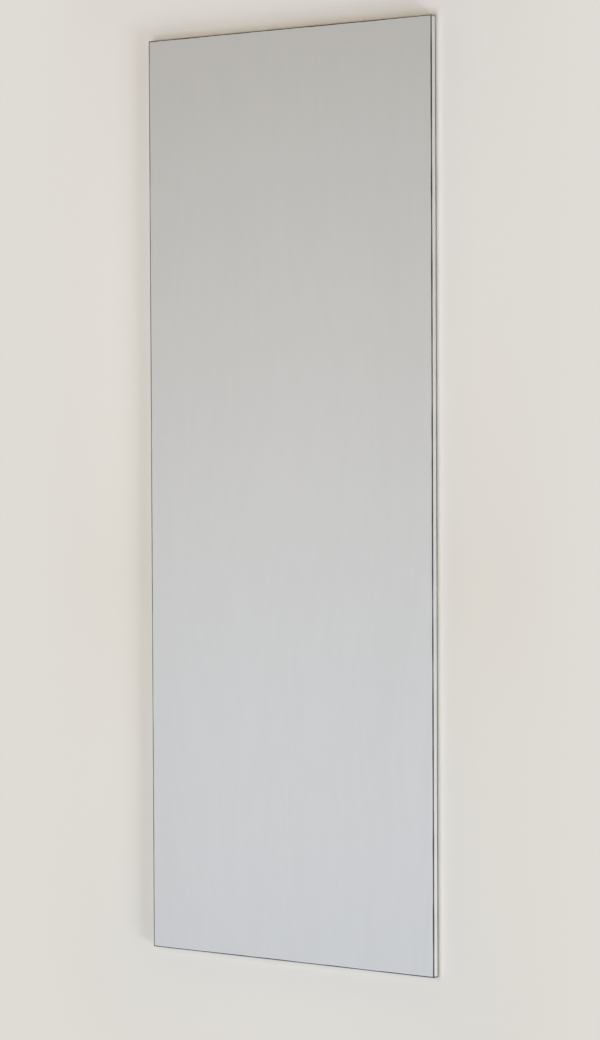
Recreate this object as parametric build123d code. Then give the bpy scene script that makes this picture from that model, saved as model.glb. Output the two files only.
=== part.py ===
from build123d import *
import os

# Plywood sheet: one flat piece of stock with square-cut edges, lying on its lower face.
# Millimetres. The origin is at the middle of the lower face. X runs across the sheet,
# Y along it and Z up through its thickness.

# The sheet as it is cut.
SHEET_WIDTH = 1000.0
SHEET_LENGTH = 2800.0
SHEET_THICKNESS = 25.0

# The sanding that takes the sharpness off a cut sheet before it is finished.
CORNER_RADIUS = 1.5  # the four upright corners of the outline
ARRIS_RADIUS = 1.0  # the line where each face meets the cut edges, all the way round


def cut_outline():
    """The sheet's outline from above, with its four corners just rubbed off."""
    return RectangleRounded(SHEET_WIDTH, SHEET_LENGTH, CORNER_RADIUS)


def plywood_sheet():
    """The bonded and finished sheet, between its lower face at Z 0 and its upper face."""
    slab = extrude(cut_outline(), SHEET_THICKNESS)
    lower_face, upper_face = slab.faces().filter_by(Plane.XY).sort_by(Axis.Z)
    arrises = lower_face.edges() + upper_face.edges()
    return fillet(arrises, ARRIS_RADIUS)


def write_parts():
    """Writes the one piece to parts/, under the name of its node."""
    os.makedirs("parts", exist_ok=True)
    export_step(plywood_sheet(), "parts/plywood_sheet.step")


write_parts()
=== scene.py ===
# A plywood sheet in satin paint, lying on a plain studio floor. Laid out as an add-on.
import math

import bpy
from bpy.props import FloatProperty, FloatVectorProperty, IntProperty, PointerProperty
from mathutils import Matrix, Vector


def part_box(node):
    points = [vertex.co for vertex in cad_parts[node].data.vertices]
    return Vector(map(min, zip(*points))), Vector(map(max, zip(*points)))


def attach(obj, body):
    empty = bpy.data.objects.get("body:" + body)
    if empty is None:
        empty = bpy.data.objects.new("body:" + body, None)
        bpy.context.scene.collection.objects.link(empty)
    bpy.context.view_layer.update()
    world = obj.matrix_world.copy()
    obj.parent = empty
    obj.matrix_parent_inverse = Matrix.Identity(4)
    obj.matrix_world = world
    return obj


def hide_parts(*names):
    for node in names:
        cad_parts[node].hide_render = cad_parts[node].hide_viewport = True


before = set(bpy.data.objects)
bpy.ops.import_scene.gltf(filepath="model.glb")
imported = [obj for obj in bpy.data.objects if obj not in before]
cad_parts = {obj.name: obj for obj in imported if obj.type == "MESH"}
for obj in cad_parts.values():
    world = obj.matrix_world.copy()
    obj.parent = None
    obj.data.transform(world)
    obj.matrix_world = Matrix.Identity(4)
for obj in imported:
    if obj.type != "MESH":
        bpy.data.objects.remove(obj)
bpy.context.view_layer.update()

bl_info = {
    "name": "Painted Plywood Sheet",
    "version": (1, 0, 0),
    "blender": (4, 5, 0),
    "location": "3D View > Sidebar > Plywood",
    "description": "Makes a plywood sheet in satin paint and the studio that it lies in",
    "category": "Add Mesh",
}

# What the frame calls the sheet and the body that it moves with.
SHEET_NODE = "plywood_sheet"
BODY = "root"

LOW_CORNER, HIGH_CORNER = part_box(SHEET_NODE)
OUTSIDE = HIGH_CORNER - LOW_CORNER


def linear(hex_colour):
    """The linear red, green and blue of an sRGB hex colour."""
    parts = [int(hex_colour[at:at + 2], 16) / 255 for at in (0, 2, 4)]
    return tuple(p / 12.92 if p <= 0.04045 else ((p + 0.055) / 1.055) ** 2.4 for p in parts)


# Settings that a user would change


class SheetSizes(bpy.types.PropertyGroup):
    """The sheet's outside size, its eased edges and the relief of its plies."""

    width: FloatProperty(
        name="Width", description="Across the sheet, from long edge to long edge",
        default=OUTSIDE.x, min=0.1, unit="LENGTH")
    length: FloatProperty(
        name="Length", description="Along the sheet, from foot to head",
        default=OUTSIDE.y, min=0.1, unit="LENGTH")
    thickness: FloatProperty(
        name="Thickness", description="Through the bonded plies and the paint on both faces",
        default=OUTSIDE.z, min=0.003, unit="LENGTH")
    corner_radius: FloatProperty(
        name="Corner Radius", description="Rounding of the four upright corners",
        default=0.0015, min=0.0005, unit="LENGTH")
    arris_radius: FloatProperty(
        name="Arris Radius",
        description="Widest rounding where a face meets an edge, no more than the corner's",
        default=0.001, min=0.0002, unit="LENGTH")
    arris_line: FloatProperty(
        name="Arris Line", description="How far the dark line on an arris reaches on each side",
        default=0.004, min=0.0002, unit="LENGTH")
    plies: IntProperty(
        name="Plies", description="Veneers in the sheet, an odd number",
        default=17, min=3)
    ply_relief: FloatProperty(
        name="Ply Relief", description="How far end grain sinks below long grain on the edges",
        default=0.00012, min=0.0, precision=5, unit="LENGTH")
    glue_relief: FloatProperty(
        name="Glue Relief", description="How far the paint dips at each glue line on the edges",
        default=0.00005, min=0.0, precision=5, unit="LENGTH")
    row_spacing: FloatProperty(
        name="Row Spacing", description="Distance between rows of points on the faces",
        default=0.02, min=0.005, unit="LENGTH")


class PaintFinish(bpy.types.PropertyGroup):
    """The colours of the paint and the sizes of what shows in it."""

    paint: FloatVectorProperty(
        name="Paint", description="Pale grey paint where it is thick",
        subtype="COLOR", size=3, min=0.0, max=1.0, default=linear("CCCECF"))
    sunk_paint: FloatVectorProperty(
        name="Sunk Paint", description="The paint where the veneer has drunk a little of it in",
        subtype="COLOR", size=3, min=0.0, max=1.0, default=linear("C8CACA"))
    end_grain: FloatVectorProperty(
        name="End Grain", description="The paint where end grain has drunk it in",
        subtype="COLOR", size=3, min=0.0, max=1.0, default=linear("C4C4C1"))
    bare_arris: FloatVectorProperty(
        name="Bare Arris", description="Wood dark with handling, where the paint is thin",
        subtype="COLOR", size=3, min=0.0, max=1.0, default=linear("24201C"))
    roughness: FloatProperty(
        name="Roughness", description="Roughness of the satin paint",
        default=0.48, min=0.0, max=1.0, subtype="FACTOR")
    figure_width: FloatProperty(
        name="Figure Width", description="Across one sweep of the veneer's figure",
        default=0.16, min=0.01, unit="LENGTH")
    figure_length: FloatProperty(
        name="Figure Length", description="Along one sweep of the veneer's figure",
        default=1.1, min=0.05, unit="LENGTH")
    ring_lines: FloatProperty(
        name="Ring Lines", description="Growth rings that the cut crosses in one sweep",
        default=9.0, min=1.0)
    pore_width: FloatProperty(
        name="Pore Width", description="Across one pore of the veneer",
        default=0.0016, min=0.0002, unit="LENGTH")
    pore_length: FloatProperty(
        name="Pore Length", description="Along one pore of the veneer",
        default=0.045, min=0.001, unit="LENGTH")
    end_pore: FloatProperty(
        name="End Pore", description="Between the pores of the end grain on the edges",
        default=0.0009, min=0.0001, precision=4, unit="LENGTH")
    streak_width: FloatProperty(
        name="Streak Width", description="Across one streak of the long grain on the edges",
        default=0.0004, min=0.0001, precision=4, unit="LENGTH")
    streak_length: FloatProperty(
        name="Streak Length", description="Along one streak of the long grain on the edges",
        default=0.03, min=0.001, unit="LENGTH")
    stipple: FloatProperty(
        name="Stipple", description="Between the bumps that a paint roller leaves",
        default=0.0035, min=0.0005, unit="LENGTH")
    roller_width: FloatProperty(
        name="Roller Width", description="Across one pass of the paint roller",
        default=0.23, min=0.05, unit="LENGTH")


class StudioStage(bpy.types.PropertyGroup):
    """The floor, the light and the camera."""

    floor: FloatVectorProperty(
        name="Floor", description="Paint of the floor, by which it lights the sheet",
        subtype="COLOR", size=3, min=0.0, max=1.0, default=linear("E3E1DC"))
    # Painted light: the floor as seen is painted paler and cooler towards the head, where less and
    # warmer light falls, so the background looks even.
    foot_floor: FloatVectorProperty(
        name="Foot Floor", description="Paint of the floor as seen beside the foot",
        subtype="COLOR", size=3, min=0.0, max=1.0, default=linear("E8E5DD"))
    head_floor: FloatVectorProperty(
        name="Head Floor", description="Paint of the floor as seen beside the head",
        subtype="COLOR", size=3, min=0.0, max=1.0, default=linear("FFFFFF"))
    backdrop: FloatVectorProperty(
        name="Backdrop", description="What the floor fades into",
        subtype="COLOR", size=3, min=0.0, max=1.0, default=linear("DFDBD5"))
    foot_light: FloatVectorProperty(
        name="Foot Light", description="Light of the softbox over the foot of the sheet",
        subtype="COLOR", size=3, min=0.0, max=1.0, default=(0.762, 0.848, 1.0))
    foot_power: FloatProperty(
        name="Foot Power", description="Power of the softbox over the foot of the sheet",
        default=56.2, min=0.0, unit="POWER")
    head_light: FloatVectorProperty(
        name="Head Light", description="Light of the softbox over the head of the sheet",
        subtype="COLOR", size=3, min=0.0, max=1.0, default=(1.0, 0.872, 0.706))
    head_power: FloatProperty(
        name="Head Power", description="Power of the softbox over the head of the sheet",
        default=49.2, min=0.0, unit="POWER")
    side_light: FloatVectorProperty(
        name="Side Light", description="Light of the softbox beside the sheet",
        subtype="COLOR", size=3, min=0.0, max=1.0, default=(0.827, 0.889, 1.0))
    side_power: FloatProperty(
        name="Side Power", description="Power of the softbox beside the sheet",
        default=336.6, min=0.0, unit="POWER")
    low_light: FloatVectorProperty(
        name="Low Light", description="Soft light from low down, all round",
        subtype="COLOR", size=3, min=0.0, max=1.0, default=(1.0, 0.907, 0.763))
    low_strength: FloatProperty(
        name="Low Strength", description="Strength of the soft light at floor level",
        default=2.71, min=0.0)
    camera_place: FloatVectorProperty(
        name="Camera Place", description="Where the camera stands",
        size=3, subtype="XYZ", unit="LENGTH", default=(4.555, 0.186, 7.158))
    camera_aim: FloatVectorProperty(
        name="Camera Aim", description="The point at the middle of the picture",
        size=3, subtype="XYZ", unit="LENGTH", default=(0.036, -0.068, 0.0125))
    camera_roll: FloatProperty(
        name="Camera Roll", description="Turn of the camera about its line of sight",
        subtype="ANGLE", default=math.radians(-0.24))
    camera_lens: FloatProperty(
        name="Camera Lens", description="Focal length",
        default=97.7, min=1.0, unit="CAMERA")


# Nodes


def add_node(tree, kind, inputs=None, **settings):
    """Adds a node, sets it, and fills or links its inputs, each by its name or its place.

    Only the inputs in use count, and a node given as a value stands for its first output in use.
    """
    node = tree.nodes.new(kind)
    for name, value in settings.items():
        setattr(node, name, value)
    in_use = [socket for socket in node.inputs if socket.enabled]
    for key, value in (inputs or {}).items():
        socket = in_use[key] if isinstance(key, int) else next(s for s in in_use if s.name == key)
        if isinstance(value, bpy.types.Node):
            value = next(out for out in value.outputs if out.enabled)
        if isinstance(value, bpy.types.NodeSocket):
            tree.links.new(value, socket)
        else:
            socket.default_value = value
    return node


def set_inputs(modifier, settings):
    """Sets each input of a Geometry Nodes modifier to the setting of the same name."""
    for item in modifier.node_group.interface.items_tree:
        if item.item_type == "SOCKET" and item.in_out == "INPUT":
            name = item.name.lower().replace(" ", "_")
            modifier[item.identifier] = getattr(settings, name)


# The sheet's shape

SHEET_LENGTHS = ("Width", "Length", "Thickness", "Corner Radius", "Arris Radius", "Arris Line",
                 "Ply Relief", "Glue Relief", "Row Spacing")
EASED_ROWS = 10  # rows of faces in the strip beside each edge
ROWS_PER_PLY = 6  # rows of faces across each ply on the edges
SHARP_STEP = 0.5  # height of the wave through a ply at which the step at its glue line is over
ALONG_FACES = (1.0, 1.0, 0.0)  # keeps the part of a vector that lies along the faces
UPRIGHT = (0.0, 0.0, 1.0)  # keeps the part that goes through them
WEAR_LENGTH = 0.12  # metres from one thick or thin stretch of an arris to the next
WEAR_LEVELS = (0.35, 0.65)  # levels of the noise where an arris is narrowest and where widest
LEAST_ARRIS = 0.75  # narrowest arris, as a share of the widest
LINE_CORE = 0.75  # share of the dark line's reach up to which it is fully dark


def gridded_box(tree, size, sizes):
    """A box with rows on its faces and a few to each ply on its edges, and its count of rows."""
    rows = []
    for name in ("Width", "Length"):
        spaces = add_node(tree, "ShaderNodeMath", {0: sizes[name], 1: sizes["Row Spacing"]},
                          operation="DIVIDE")
        whole = add_node(tree, "ShaderNodeMath", {0: spaces}, operation="FLOOR")
        rows.append(add_node(tree, "ShaderNodeMath", {0: whole, 1: 2 * EASED_ROWS},
                             operation="ADD"))
    rows.append(add_node(tree, "ShaderNodeMath", {0: sizes["Plies"], 1: ROWS_PER_PLY},
                         operation="MULTIPLY"))
    points = [add_node(tree, "ShaderNodeMath", {0: count, 1: 1}, operation="ADD")
              for count in rows]
    box = add_node(tree, "GeometryNodeMeshCube", {
        "Size": size, "Vertices X": points[0], "Vertices Y": points[1], "Vertices Z": points[2]})
    return box, add_node(tree, "ShaderNodeCombineXYZ", dict(enumerate(rows)))


def gathered_rows(tree, size, half, row_counts, sizes):
    """Each point's place once the outer rows are drawn together beside the edges.

    They fill a strip as wide as the rounding or the dark line, whichever reaches further.
    """
    widest = add_node(tree, "ShaderNodeMath",
                      {0: sizes["Corner Radius"], 1: sizes["Arris Line"]}, operation="MAXIMUM")
    strip = add_node(tree, "ShaderNodeVectorMath", {0: widest, 1: ALONG_FACES},
                     operation="MULTIPLY")
    place = add_node(tree, "GeometryNodeInputPosition")
    row = add_node(tree, "ShaderNodeVectorMath", {0: size, 1: row_counts}, operation="DIVIDE")
    outer_rows = add_node(tree, "ShaderNodeVectorMath",
                          {0: row, 1: (EASED_ROWS, EASED_ROWS, 0.0)}, operation="MULTIPLY")
    inner_rows = add_node(tree, "ShaderNodeVectorMath", {0: half, 1: outer_rows},
                          operation="SUBTRACT")
    inner_zone = add_node(tree, "ShaderNodeVectorMath", {0: half, 1: strip},
                          operation="SUBTRACT")
    out_from_middle = add_node(tree, "ShaderNodeVectorMath", {0: place}, operation="ABSOLUTE")
    spread = add_node(tree, "ShaderNodeMapRange", {
        "Vector": out_from_middle, "From Min": (0.0, 0.0, 0.0), "From Max": inner_rows,
        "To Min": (0.0, 0.0, 0.0), "To Max": inner_zone}, data_type="FLOAT_VECTOR")
    gathered = add_node(tree, "ShaderNodeMapRange", {
        "Vector": out_from_middle, "From Min": inner_rows, "From Max": half,
        "To Min": (0.0, 0.0, 0.0), "To Max": strip}, data_type="FLOAT_VECTOR")
    reach = add_node(tree, "ShaderNodeVectorMath", {0: spread, 1: gathered}, operation="ADD")
    side = add_node(tree, "ShaderNodeVectorMath", {0: place}, operation="SIGN")
    return add_node(tree, "ShaderNodeVectorMath", {0: reach, 1: side}, operation="MULTIPLY")


def held_within(tree, place, limit):
    """A point held between minus and plus a limit on each axis."""
    low = add_node(tree, "ShaderNodeVectorMath", {"Vector": limit, "Scale": -1.0},
                   operation="SCALE")
    above = add_node(tree, "ShaderNodeVectorMath", {0: place, 1: low}, operation="MAXIMUM")
    return add_node(tree, "ShaderNodeVectorMath", {0: above, 1: limit}, operation="MINIMUM")


def hand_wear(tree, place):
    """A share up to 1 for each stretch of an arris, which sanding by hand leaves uneven."""
    wear = add_node(tree, "ShaderNodeTexNoise",
                    {"Vector": place, "Scale": 1 / WEAR_LENGTH, "Detail": 1.0})
    least, most = WEAR_LEVELS
    return add_node(tree, "ShaderNodeMapRange", {
        "Value": wear, "From Min": least, "From Max": most, "To Min": LEAST_ARRIS,
        "To Max": 1.0})


def rounded_over(tree, place, half, corner, arris):
    """The core that the rounding is rolled round, at each point, and the way out from it."""
    corner_zone = add_node(tree, "ShaderNodeVectorMath", {0: corner, 1: ALONG_FACES},
                           operation="MULTIPLY")
    straight = add_node(tree, "ShaderNodeVectorMath", {0: half, 1: corner_zone},
                        operation="SUBTRACT")
    straight_flat = add_node(tree, "ShaderNodeVectorMath", {0: straight, 1: ALONG_FACES},
                             operation="MULTIPLY")
    place_flat = add_node(tree, "ShaderNodeVectorMath", {0: place, 1: ALONG_FACES},
                          operation="MULTIPLY")
    centre = held_within(tree, place_flat, straight_flat)
    past = add_node(tree, "ShaderNodeVectorMath", {0: place_flat, 1: centre},
                    operation="SUBTRACT")
    past_length = add_node(tree, "ShaderNodeVectorMath", {0: past}, operation="LENGTH")
    past_way = add_node(tree, "ShaderNodeVectorMath", {0: past}, operation="NORMALIZE")
    core_radius = add_node(tree, "ShaderNodeMath", {0: corner, 1: arris}, operation="SUBTRACT")
    core_reach = add_node(tree, "ShaderNodeMath", {0: past_length, 1: core_radius},
                          operation="MINIMUM")
    core_step = add_node(tree, "ShaderNodeVectorMath", {"Vector": past_way, "Scale": core_reach},
                         operation="SCALE")
    core_flat = add_node(tree, "ShaderNodeVectorMath", {0: centre, 1: core_step},
                         operation="ADD")
    under_faces = add_node(tree, "ShaderNodeVectorMath", {0: half, 1: arris},
                           operation="SUBTRACT")
    upright_limit = add_node(tree, "ShaderNodeVectorMath", {0: under_faces, 1: UPRIGHT},
                             operation="MULTIPLY")
    core_upright = held_within(tree, place, upright_limit)
    core = add_node(tree, "ShaderNodeVectorMath", {0: core_flat, 1: core_upright},
                    operation="ADD")
    off_core = add_node(tree, "ShaderNodeVectorMath", {0: place, 1: core}, operation="SUBTRACT")
    outward = add_node(tree, "ShaderNodeVectorMath", {0: off_core}, operation="NORMALIZE")
    return core, outward


def ply_wave(tree, place, sizes):
    """A wave through the thickness: 0 at each glue line, and 1 or -1 in the middle of a ply."""
    parts = add_node(tree, "ShaderNodeSeparateXYZ", {0: place}).outputs
    half = add_node(tree, "ShaderNodeMath", {0: sizes["Thickness"], 1: 0.5},
                    operation="MULTIPLY")
    height = add_node(tree, "ShaderNodeMath", {0: parts["Z"], 1: half}, operation="ADD")
    ply = add_node(tree, "ShaderNodeMath", {0: sizes["Thickness"], 1: sizes["Plies"]},
                   operation="DIVIDE")
    count = add_node(tree, "ShaderNodeMath", {0: height, 1: ply}, operation="DIVIDE")
    phase = add_node(tree, "ShaderNodeMath", {0: count, 1: math.pi}, operation="MULTIPLY")
    return add_node(tree, "ShaderNodeMath", {0: phase}, operation="SINE")


def end_grain_share(tree, wave, outward):
    """0 on a ply that shows long grain and 1 on one that shows end grain.

    The outer plies' grain runs along the sheet, so they show long grain on the long edges and
    end grain at the head and foot, and each ply between is turned to the ones beside it.
    """
    ways = add_node(tree, "ShaderNodeVectorMath", {0: outward}, operation="ABSOLUTE")
    parts = add_node(tree, "ShaderNodeSeparateXYZ", {0: ways}).outputs
    lean = add_node(tree, "ShaderNodeMath", {0: parts["X"], 1: parts["Y"]}, operation="SUBTRACT")
    long_edge = add_node(tree, "ShaderNodeMath", {0: lean}, operation="SIGN")
    turned = add_node(tree, "ShaderNodeMath", {0: wave, 1: long_edge}, operation="MULTIPLY")
    return add_node(tree, "ShaderNodeMapRange", {
        "Value": turned, "From Min": SHARP_STEP, "From Max": -SHARP_STEP, "To Min": 0.0,
        "To Max": 1.0})


def glue_share(tree, wave):
    """1 on each glue line and 0 just beside it."""
    height = add_node(tree, "ShaderNodeMath", {0: wave}, operation="ABSOLUTE")
    return add_node(tree, "ShaderNodeMapRange", {
        "Value": height, "From Min": 0.0, "From Max": SHARP_STEP, "To Min": 1.0, "To Max": 0.0})


def arris_share(tree, place, half, reach):
    """1 beside an arris, falling to 0 at a reach from it, by places on the square box.

    Such a place lies on one side of the box, so the shortest of its ways to the three sides is
    0. The next is its way to the nearest arris, and is their total less the longest.
    """
    out_from_middle = add_node(tree, "ShaderNodeVectorMath", {0: place}, operation="ABSOLUTE")
    ways = add_node(tree, "ShaderNodeVectorMath", {0: half, 1: out_from_middle},
                    operation="SUBTRACT")
    total = add_node(tree, "ShaderNodeVectorMath", {0: ways, 1: (1.0, 1.0, 1.0)},
                     operation="DOT_PRODUCT")
    parts = add_node(tree, "ShaderNodeSeparateXYZ", {0: ways}).outputs
    longest = add_node(tree, "ShaderNodeMath", {0: parts["X"], 1: parts["Y"]},
                       operation="MAXIMUM")
    longest = add_node(tree, "ShaderNodeMath", {0: longest, 1: parts["Z"]}, operation="MAXIMUM")
    way = add_node(tree, "ShaderNodeMath", {0: total, 1: longest}, operation="SUBTRACT")
    core = add_node(tree, "ShaderNodeMath", {0: reach, 1: LINE_CORE}, operation="MULTIPLY")
    return add_node(tree, "ShaderNodeMapRange", {
        "Value": way, "From Min": core, "From Max": reach, "To Min": 1.0, "To Max": 0.0},
        interpolation_type="SMOOTHSTEP")


def pressed_in(tree, sizes, edge_way, end_grain, glue):
    """The step back into the sheet that end grain and glue lines take on the edges."""
    dip = add_node(tree, "ShaderNodeMath", {0: glue, 1: sizes["Glue Relief"]},
                   operation="MULTIPLY")
    depth = add_node(tree, "ShaderNodeMath", {0: end_grain, 1: sizes["Ply Relief"], 2: dip},
                     operation="MULTIPLY_ADD")
    inward = add_node(tree, "ShaderNodeMath", {0: depth, 1: -1.0}, operation="MULTIPLY")
    return add_node(tree, "ShaderNodeVectorMath", {"Vector": edge_way, "Scale": inward},
                    operation="SCALE")


def sheet_tree(paint):
    """Geometry Nodes for the sheet: a gridded box, rounded over and pressed in at its plies."""
    tree = bpy.data.node_groups.new("Plywood sheet", "GeometryNodeTree")
    tree.interface.new_socket("Sheet", in_out="OUTPUT", socket_type="NodeSocketGeometry")
    for name in SHEET_LENGTHS:
        tree.interface.new_socket(name, in_out="INPUT", socket_type="NodeSocketFloat")
    tree.interface.new_socket("Plies", in_out="INPUT", socket_type="NodeSocketInt")
    sizes = add_node(tree, "NodeGroupInput").outputs

    size = add_node(tree, "ShaderNodeCombineXYZ", {
        "X": sizes["Width"], "Y": sizes["Length"], "Z": sizes["Thickness"]})
    half = add_node(tree, "ShaderNodeVectorMath", {"Vector": size, "Scale": 0.5},
                    operation="SCALE")
    box, row_counts = gridded_box(tree, size, sizes)
    place = gathered_rows(tree, size, half, row_counts, sizes)
    wear = hand_wear(tree, place)
    arris = add_node(tree, "ShaderNodeMath", {0: sizes["Arris Radius"], 1: wear},
                     operation="MULTIPLY")
    line = add_node(tree, "ShaderNodeMath", {0: sizes["Arris Line"], 1: wear},
                    operation="MULTIPLY")
    core, outward = rounded_over(tree, place, half, sizes["Corner Radius"], arris)
    skin = add_node(tree, "ShaderNodeVectorMath", {"Vector": outward, "Scale": arris},
                    operation="SCALE")
    rounded = add_node(tree, "ShaderNodeVectorMath", {0: core, 1: skin}, operation="ADD")
    edge_way = add_node(tree, "ShaderNodeVectorMath", {0: outward, 1: ALONG_FACES},
                        operation="MULTIPLY")
    edge = add_node(tree, "ShaderNodeVectorMath", {0: edge_way}, operation="LENGTH")
    wave = ply_wave(tree, place, sizes)
    end_grain = end_grain_share(tree, wave, outward)
    step = pressed_in(tree, sizes, edge_way, end_grain, glue_share(tree, wave))
    pressed = add_node(tree, "ShaderNodeVectorMath", {0: rounded, 1: step}, operation="ADD")
    half_thickness = add_node(tree, "ShaderNodeVectorMath", {0: half, 1: UPRIGHT},
                              operation="MULTIPLY")

    sheet = box
    marks = (("arris", arris_share(tree, place, half, line)), ("edge", edge),
             ("end_grain", end_grain))
    for name, value in marks:
        sheet = add_node(tree, "GeometryNodeStoreNamedAttribute",
                         {"Geometry": sheet, "Name": name, "Value": value},
                         data_type="FLOAT", domain="POINT")
    sheet = add_node(tree, "GeometryNodeSetPosition",
                     {"Geometry": sheet, "Position": pressed, "Offset": half_thickness})
    sheet = add_node(tree, "GeometryNodeSetShadeSmooth", {"Geometry": sheet})
    sheet = add_node(tree, "GeometryNodeRealizeInstances", {"Geometry": sheet})
    sheet = add_node(tree, "GeometryNodeSetMaterial", {"Geometry": sheet, "Material": paint})
    add_node(tree, "NodeGroupOutput", {0: sheet})
    return tree


def made_plain(piece):
    """Turns what a piece's modifiers make into its own mesh, and takes the modifiers off."""
    evaluated = piece.evaluated_get(bpy.context.evaluated_depsgraph_get())
    mesh = bpy.data.meshes.new_from_object(evaluated)
    if not mesh.polygons:
        raise RuntimeError(piece.name + " came out with no faces")
    piece.modifiers.clear()
    piece.data = mesh
    mesh.name = piece.name


# The sheet's finish

PAINT_IOR = 1.5  # typical of paint
SHINIER = 0.03  # how far the thickest paint's roughness is below the finish's own
DULLER = 0.2  # how far the roughness of paint that is wholly drunk in is above it
RING_SHADE = 0.2  # share of the sunk paint's colour on a ring of the veneer
PASS_SHADE = 0.3  # share of it where the roller has left the least paint
PIT_SHADE = 0.3  # share of it at the bottom of a pit
END_PIT_SHADE = 0.12  # share of the bare wood's colour at the bottom of a pit of the end grain
PASS_LENGTH = 8  # length of a pass of the roller, over its width
PASS_LEVELS = (0.3, 0.7)  # levels of the noise where a pass leaves most and least paint
RING_DEPTH = 0.000006  # metres that the veneer's rings stand under the paint
PIT_DEPTH = 0.00004  # metres that pores, streaks and end grain pit it
STIPPLE_DEPTH = 0.0004  # metres of the whole range of the noise, of which about a third is used

# For each kind of pit, the detail of its noise, and its levels in flush paint and at the bottom
PORES = (2.0, 0.55, 0.7)
STREAKS = (1.0, 0.5, 0.7)
END_PORES = (2.0, 0.5, 0.65)


def stretched_noise(tree, place, spans, **inputs):
    """Noise whose features span these lengths along X, Y and Z, in metres."""
    scaled = add_node(tree, "ShaderNodeMapping",
                      {"Vector": place, "Scale": tuple(1 / span for span in spans)})
    return add_node(tree, "ShaderNodeTexNoise", {"Vector": scaled, "Scale": 1.0, **inputs})


def veneer_rings(tree, place, finish):
    """A wave between -1 and 1 across the growth rings that the cut of the veneer crosses."""
    spans = (finish.figure_width, finish.figure_length, finish.figure_width)
    sweep = stretched_noise(tree, place, spans, Detail=1.5)
    turns = add_node(tree, "ShaderNodeMath", {0: sweep, 1: 2 * math.pi * finish.ring_lines},
                     operation="MULTIPLY")
    return add_node(tree, "ShaderNodeMath", {0: turns}, operation="SINE")


def grain_pits(tree, place, finish):
    """Pits in the paint: the faces' pores, the streaks of long grain and the end grain's pores."""
    pore = (finish.pore_width, finish.pore_length, finish.pore_width)
    streak = (finish.streak_length, finish.streak_length, finish.streak_width)
    end_pore = (finish.end_pore,) * 3
    pits = []
    for spans, kind in ((pore, PORES), (streak, STREAKS), (end_pore, END_PORES)):
        detail, flush, bottom = kind
        noise = stretched_noise(tree, place, spans, Detail=detail)
        pits.append(add_node(tree, "ShaderNodeMapRange", {
            "Value": noise, "From Min": flush, "From Max": bottom, "To Min": 0.0, "To Max": 1.0}))
    return pits


def sunk_share(tree, place, rings, pits, finish):
    """How far the paint has sunk in: over rings, where the roller left little, and in pits."""
    ringed = add_node(tree, "ShaderNodeMapRange", {
        "Value": rings, "From Min": -1.0, "From Max": 1.0, "To Min": 0.0, "To Max": RING_SHADE})
    pass_spans = (finish.roller_width, PASS_LENGTH * finish.roller_width, finish.roller_width)
    passes = stretched_noise(tree, place, pass_spans)
    most, least = PASS_LEVELS
    thin = add_node(tree, "ShaderNodeMapRange", {
        "Value": passes, "From Min": most, "From Max": least, "To Min": 0.0,
        "To Max": PASS_SHADE})
    unpitted = add_node(tree, "ShaderNodeMath", {0: ringed, 1: thin}, operation="ADD")
    return add_node(tree, "ShaderNodeMath", {0: pits, 1: PIT_SHADE, 2: unpitted},
                    operation="MULTIPLY_ADD")


def paint_relief(tree, place, rings, pits, finish):
    """The paint's normal: it follows the veneer's rings, has pits and is stippled by a roller."""
    stipple = stretched_noise(tree, place, (finish.stipple,) * 3, Detail=1.0)
    ringed = add_node(tree, "ShaderNodeBump", {"Distance": RING_DEPTH, "Height": rings})
    pitted = add_node(tree, "ShaderNodeBump",
                      {"Distance": PIT_DEPTH, "Height": pits, "Normal": ringed}, invert=True)
    return add_node(tree, "ShaderNodeBump",
                    {"Distance": STIPPLE_DEPTH, "Height": stipple, "Normal": pitted})


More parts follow.
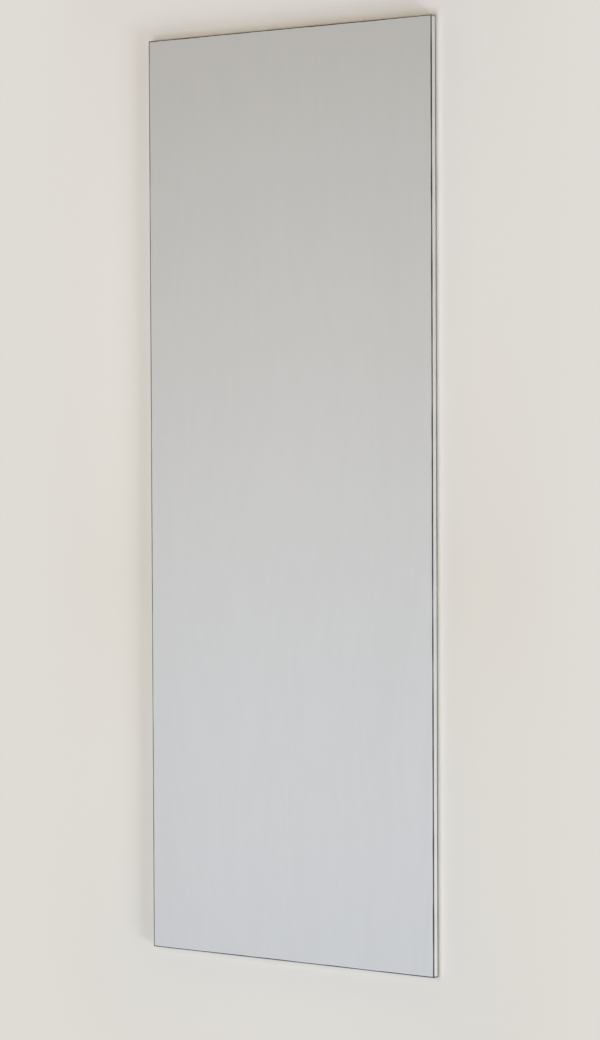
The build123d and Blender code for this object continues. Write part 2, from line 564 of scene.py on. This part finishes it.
def satin_paint(finish):
    """Water-borne satin paint, rolled on sanded birch plywood.

    It gives the eye an even pale grey with a soft sheen and a thin dark line on every arris,
    where handled wood shows through. Close to or at a low angle it shows the roller's stipple
    and the veneer's figure and pores. On the edges the plies show as duller and pitted end
    grain between streaked long grain. The real stipple is about 1 mm, a pore 0.3 mm wide, a
    streak 0.2 mm and an arris's wear 1 mm, and all four are drawn coarser, to show.
    """
    material = bpy.data.materials.new("Satin paint on birch plywood")
    material.use_nodes = True
    tree = material.node_tree
    tree.nodes.clear()
    place = add_node(tree, "ShaderNodeTexCoord").outputs["Object"]
    arris = add_node(tree, "ShaderNodeAttribute", attribute_name="arris").outputs["Fac"]
    edge = add_node(tree, "ShaderNodeAttribute", attribute_name="edge").outputs["Fac"]
    end_grain = add_node(tree, "ShaderNodeAttribute", attribute_name="end_grain").outputs["Fac"]
    drunk_in = add_node(tree, "ShaderNodeMath", {0: edge, 1: end_grain}, operation="MULTIPLY")

    rings = veneer_rings(tree, place, finish)
    face_pits, streak_pits, end_pits = grain_pits(tree, place, finish)
    long_grain = add_node(tree, "ShaderNodeMix",
                          {"Factor": edge, "A": face_pits, "B": streak_pits}, data_type="FLOAT")
    pits = add_node(tree, "ShaderNodeMix", {"Factor": drunk_in, "A": long_grain, "B": end_pits},
                    data_type="FLOAT")
    end_depth = add_node(tree, "ShaderNodeMath", {0: drunk_in, 1: end_pits},
                         operation="MULTIPLY")
    bare_pits = add_node(tree, "ShaderNodeMath", {0: end_depth, 1: END_PIT_SHADE},
                         operation="MULTIPLY")
    bare = add_node(tree, "ShaderNodeMath", {0: arris, 1: bare_pits}, operation="MAXIMUM")
    sunk = sunk_share(tree, place, rings, pits, finish)

    colour = (*finish.paint, 1.0)
    layers = ((sunk, finish.sunk_paint), (drunk_in, finish.end_grain), (bare, finish.bare_arris))
    for share, under in layers:
        colour = add_node(tree, "ShaderNodeMix",
                          {"Factor": share, "A": colour, "B": (*under, 1.0)}, data_type="RGBA")

    # Each of the two shares is 1 at most, so their sum is 2 at most.
    dullness = add_node(tree, "ShaderNodeMath", {0: sunk, 1: drunk_in}, operation="ADD")
    roughness = add_node(tree, "ShaderNodeMapRange", {
        "Value": dullness, "From Min": 0.0, "From Max": 2.0,
        "To Min": finish.roughness - SHINIER, "To Max": finish.roughness + DULLER})
    surface = add_node(tree, "ShaderNodeBsdfPrincipled", {
        "Base Color": colour, "Roughness": roughness, "IOR": PAINT_IOR,
        "Normal": paint_relief(tree, place, rings, pits, finish)})
    add_node(tree, "ShaderNodeOutputMaterial", {"Surface": surface})
    return material


class PlywoodSheet(bpy.types.Operator):
    """Make the painted plywood sheet"""

    bl_idname = "mesh.plywood_sheet"
    bl_label = "Plywood Sheet"
    bl_options = {"REGISTER", "UNDO"}

    def execute(self, context):
        paint = satin_paint(context.scene.plywood_finish)
        sheet = bpy.data.objects.new("sheet", bpy.data.meshes.new("sheet"))
        context.scene.collection.objects.link(sheet)
        modifier = sheet.modifiers.new("Plywood sheet", "NODES")
        modifier.node_group = sheet_tree(paint)
        set_inputs(modifier, context.scene.plywood_sizes)
        made_plain(sheet)
        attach(sheet, BODY)
        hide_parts(SHEET_NODE)
        return {"FINISHED"}


# The studio

FLOOR_RADIUS = 40.0  # metres
FLOOR_SIDES = 96
FLOOR_GAP = 0.0002  # the floor lies this far under the sheet, so that the two don't share a plane
LIT_FLOOR = 0.06  # metres from the sheet where the floor starts to turn into the backdrop
BACKDROP = 0.5  # metres from the sheet where it has turned
FOOT_FLOOR_END = -0.24  # metres along the sheet, up to where the floor has its foot's paint
HEAD_FLOOR_START = 1.41  # metres along the sheet, from where it has its head's
LOW_LIGHT_TOP = 0.5  # height, as a share of straight up, where the low light has faded out
SOFTBOX_SIZE = 2.0  # metres along each side

# Where the softboxes stand and what they are aimed at, in metres
FOOT_PLACE = Vector((-0.4, -1.5, 3.2))
FOOT_AIM = Vector((-0.3, -1.2, 0.0))
HEAD_PLACE = Vector((-0.4, 0.6, 3.6))
HEAD_AIM = Vector((-0.4, 0.6, 0.0))
SIDE_PLACE = Vector((7.0, -3.5, 2.2))
SIDE_AIM = Vector((0.2, -0.6, 0.0))


def seen(tree):
    """1 for what the camera sees, directly or in gloss or glass, and 0 for light on things."""
    rays = add_node(tree, "ShaderNodeLightPath").outputs
    direct = add_node(tree, "ShaderNodeMath",
                      {0: rays["Is Camera Ray"], 1: rays["Is Glossy Ray"]}, operation="MAXIMUM")
    return add_node(tree, "ShaderNodeMath", {0: direct, 1: rays["Is Transmission Ray"]},
                    operation="MAXIMUM")


def floor_paint(tree, place, looked_at, stage):
    """The floor's own paint where it lights the sheet, and an evened one where it is looked at.

    Less light falls beside the head, and it is warmer, so the evened paint is paler and cooler
    there and the background looks the same all round.
    """
    along = add_node(tree, "ShaderNodeSeparateXYZ", {0: place}).outputs["Y"]
    towards_head = add_node(tree, "ShaderNodeMapRange", {
        "Value": along, "From Min": FOOT_FLOOR_END, "From Max": HEAD_FLOOR_START,
        "To Min": 0.0, "To Max": 1.0})
    evened = add_node(tree, "ShaderNodeMix", {
        "Factor": towards_head, "A": (*stage.foot_floor, 1.0), "B": (*stage.head_floor, 1.0)},
        data_type="RGBA")
    return add_node(tree, "ShaderNodeMix", {
        "Factor": looked_at, "A": (*stage.floor, 1.0), "B": evened}, data_type="RGBA")


def floor_material(stage):
    """Matt floor paint, a pale even ground that keeps the sheet's shadow beside it.

    Away from the sheet it fades into a backdrop of the same look, so it has no horizon.
    """
    material = bpy.data.materials.new("Matt floor paint")
    material.use_nodes = True
    tree = material.node_tree
    tree.nodes.clear()
    place = add_node(tree, "ShaderNodeTexCoord").outputs["Object"]
    half_sheet = (OUTSIDE.x / 2, OUTSIDE.y / 2, 0.0)
    out_from_middle = add_node(tree, "ShaderNodeVectorMath", {0: place}, operation="ABSOLUTE")
    past_sheet = add_node(tree, "ShaderNodeVectorMath", {0: out_from_middle, 1: half_sheet},
                          operation="SUBTRACT")
    way_out = add_node(tree, "ShaderNodeVectorMath", {0: past_sheet, 1: (0.0, 0.0, 0.0)},
                       operation="MAXIMUM")
    distance = add_node(tree, "ShaderNodeVectorMath", {0: way_out}, operation="LENGTH")
    far = add_node(tree, "ShaderNodeMapRange", {
        "Value": distance, "From Min": LIT_FLOOR, "From Max": BACKDROP, "To Min": 0.0,
        "To Max": 1.0}, interpolation_type="SMOOTHSTEP")
    looked_at = seen(tree)
    faded = add_node(tree, "ShaderNodeMath", {0: far, 1: looked_at}, operation="MULTIPLY")
    near_floor = add_node(tree, "ShaderNodeBsdfDiffuse",
                          {"Color": floor_paint(tree, place, looked_at, stage)})
    far_floor = add_node(tree, "ShaderNodeEmission", {"Color": (*stage.backdrop, 1.0)})
    surface = add_node(tree, "ShaderNodeMixShader", {0: faded, 1: near_floor, 2: far_floor})
    add_node(tree, "ShaderNodeOutputMaterial", {"Surface": surface})
    return material


def make_floor(stage):
    """A round floor under the sheet."""
    turn = 2 * math.pi / FLOOR_SIDES
    rim = [(FLOOR_RADIUS * math.cos(turn * step), FLOOR_RADIUS * math.sin(turn * step), -FLOOR_GAP)
           for step in range(FLOOR_SIDES)]
    mesh = bpy.data.meshes.new("floor")
    mesh.from_pydata(rim, [], [range(FLOOR_SIDES)])
    mesh.materials.append(floor_material(stage))
    floor = bpy.data.objects.new("floor", mesh)
    bpy.context.scene.collection.objects.link(floor)


def make_softbox(name, place, aim, colour, power, glare=True):
    """A square softbox aimed at a point, which the camera doesn't see."""
    light = bpy.data.lights.new(name, "AREA")
    light.shape = "SQUARE"
    light.size = SOFTBOX_SIZE
    light.color = colour
    light.energy = power
    lamp = bpy.data.objects.new(name, light)
    lamp.location = place
    lamp.rotation_euler = (aim - place).to_track_quat("-Z", "Y").to_euler()
    lamp.visible_camera = False
    lamp.visible_glossy = glare
    bpy.context.scene.collection.objects.link(lamp)


def light_surroundings(stage):
    """Soft light from low down all round, in front of an even backdrop."""
    world = bpy.data.worlds.new("Studio")
    world.use_nodes = True
    tree = world.node_tree
    tree.nodes.clear()
    way = add_node(tree, "ShaderNodeTexCoord").outputs["Generated"]
    height = add_node(tree, "ShaderNodeSeparateXYZ", {0: way}).outputs["Z"]
    strength = add_node(tree, "ShaderNodeMapRange", {
        "Value": height, "From Min": 0.0, "From Max": LOW_LIGHT_TOP,
        "To Min": stage.low_strength, "To Max": 0.0}, interpolation_type="SMOOTHSTEP")
    light = add_node(tree, "ShaderNodeBackground",
                     {"Color": (*stage.low_light, 1.0), "Strength": strength})
    backdrop = add_node(tree, "ShaderNodeBackground", {"Color": (*stage.backdrop, 1.0)})
    surface = add_node(tree, "ShaderNodeMixShader", {0: seen(tree), 1: light, 2: backdrop})
    add_node(tree, "ShaderNodeOutputWorld", {"Surface": surface})
    bpy.context.scene.world = world


def make_camera(stage):
    """The camera, with the sheet's length upright in the picture."""
    data = bpy.data.cameras.new("camera")
    data.lens = stage.camera_lens
    camera = bpy.data.objects.new("camera", data)
    place, aim = Vector(stage.camera_place), Vector(stage.camera_aim)
    forward = (aim - place).normalized()
    right = forward.cross(Vector((0.0, 1.0, 0.0))).normalized()
    up = right.cross(forward)
    level = Matrix((right, up, -forward)).transposed()
    rolled = Matrix.Rotation(-stage.camera_roll, 3, forward) @ level
    camera.matrix_world = Matrix.Translation(place) @ rolled.to_4x4()
    bpy.context.scene.collection.objects.link(camera)
    bpy.context.scene.camera = camera


class PlywoodStage(bpy.types.Operator):
    """Make the floor, the light and the camera"""

    bl_idname = "scene.plywood_stage"
    bl_label = "Studio Stage"
    bl_options = {"REGISTER", "UNDO"}

    def execute(self, context):
        stage = context.scene.plywood_stage
        make_floor(stage)
        make_softbox("foot_softbox", FOOT_PLACE, FOOT_AIM, stage.foot_light, stage.foot_power)
        make_softbox("head_softbox", HEAD_PLACE, HEAD_AIM, stage.head_light, stage.head_power)
        # Low as it stands, its glare would bleach the face seen from across the sheet.
        make_softbox("side_softbox", SIDE_PLACE, SIDE_AIM, stage.side_light, stage.side_power,
                     glare=False)
        light_surroundings(stage)
        make_camera(stage)
        context.scene.view_settings.view_transform = "Standard"
        return {"FINISHED"}


class PlywoodPanel(bpy.types.Panel):
    """The sheet's and the stage's settings in the 3D view's sidebar"""

    bl_idname = "VIEW3D_PT_plywood"
    bl_label = "Plywood Sheet"
    bl_space_type = "VIEW_3D"
    bl_region_type = "UI"
    bl_category = "Plywood"

    def draw(self, context):
        scene = context.scene
        for group in (scene.plywood_sizes, scene.plywood_finish, scene.plywood_stage):
            box = self.layout.box()
            for name in type(group).__annotations__:
                box.prop(group, name)
        for operator in (PlywoodSheet, PlywoodStage):
            self.layout.operator(operator.bl_idname)


CLASSES = (SheetSizes, PaintFinish, StudioStage, PlywoodSheet, PlywoodStage, PlywoodPanel)


def register():
    for made in CLASSES:
        bpy.utils.register_class(made)
    bpy.types.Scene.plywood_sizes = PointerProperty(type=SheetSizes)
    bpy.types.Scene.plywood_finish = PointerProperty(type=PaintFinish)
    bpy.types.Scene.plywood_stage = PointerProperty(type=StudioStage)


def unregister():
    del bpy.types.Scene.plywood_stage
    del bpy.types.Scene.plywood_finish
    del bpy.types.Scene.plywood_sizes
    for made in reversed(CLASSES):
        bpy.utils.unregister_class(made)


def main():
    register()
    bpy.ops.mesh.plywood_sheet()
    bpy.ops.scene.plywood_stage()


if __name__ == "__main__":
    main()
